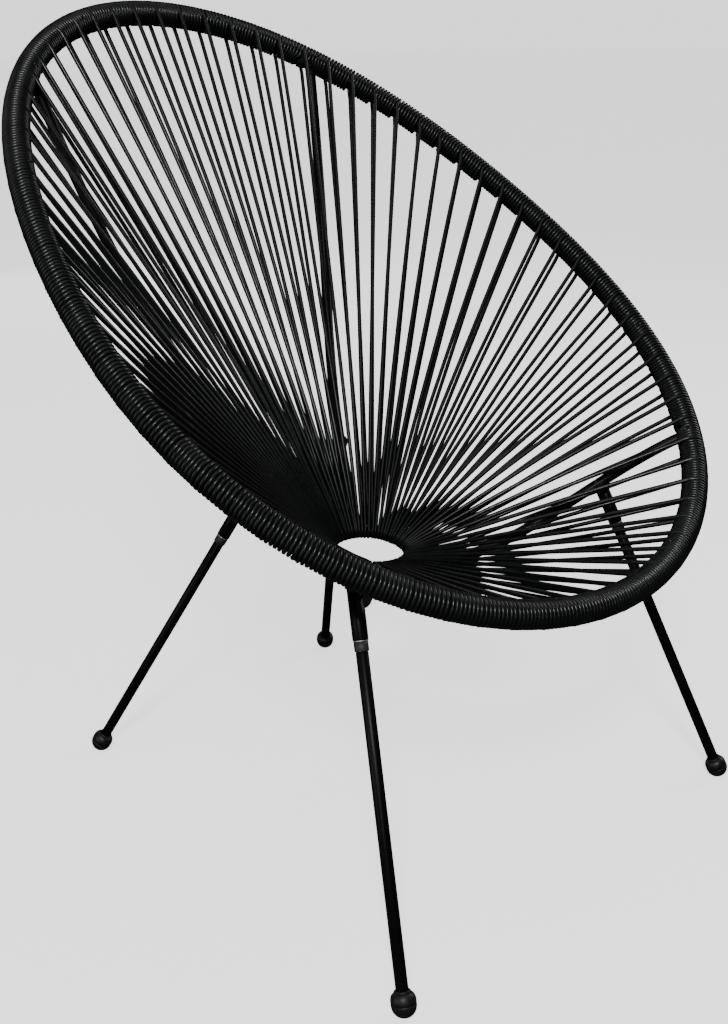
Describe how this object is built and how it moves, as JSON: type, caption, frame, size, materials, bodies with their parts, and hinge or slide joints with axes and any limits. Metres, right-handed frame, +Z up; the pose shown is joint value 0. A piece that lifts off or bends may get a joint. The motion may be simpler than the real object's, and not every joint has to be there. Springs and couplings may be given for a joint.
{
  "type": "acapulco chair",
  "caption": "Lounge chair with an egg-shaped cord-wound rim, cord strung down to a small seat ring, curved steel ribs, straight legs and rubber ball feet.",
  "frame": {"origin": "bottom centre of the chair's box, on the floor under the middle of the seat", "axes": "+Z up, the sitter faces -Y, +X to the right seen from the front"},
  "size_m": [0.7278, 0.7229, 0.8666],
  "materials": {
    "cord": "semi-gloss PVC cord",
    "frame": "satin black powder coat",
    "collar": "matte grey",
    "zinc": "zinc plated",
    "rubber": "matte"
  },
  "bodies": {
    "root": {"rim_tube": "frame", "centre_ring": "frame", "rear_right_rib": "frame", "rear_left_rib": "frame", "front_right_rib": "frame", "front_left_rib": "frame", "rear_brace": "frame", "back_cord_1": "cord", "back_cord_2": "cord", "back_cord_3": "cord", "right_cord_1": "cord", "right_cord_2": "cord", "right_cord_3": "cord", "right_cord_4": "cord", "front_cord_1": "cord", "front_cord_2": "cord", "front_cord_3": "cord", "left_cord_1": "cord", "left_cord_2": "cord", "left_cord_3": "cord", "left_cord_4": "cord", "front_right_socket": "frame", "front_right_nut": "zinc", "front_right_collar": "collar", "front_right_leg": "frame", "front_right_stud": "zinc", "front_right_foot": "rubber", "rear_right_socket": "frame", "rear_right_nut": "zinc", "rear_right_collar": "collar", "rear_right_leg": "frame", "rear_right_stud": "zinc", "rear_right_foot": "rubber", "front_left_socket": "frame", "front_left_nut": "zinc", "front_left_collar": "collar", "front_left_leg": "frame", "front_left_stud": "zinc", "front_left_foot": "rubber", "rear_left_socket": "frame", "rear_left_nut": "zinc", "rear_left_collar": "collar", "rear_left_leg": "frame", "rear_left_stud": "zinc", "rear_left_foot": "rubber"}
  },
  "joints": []
}
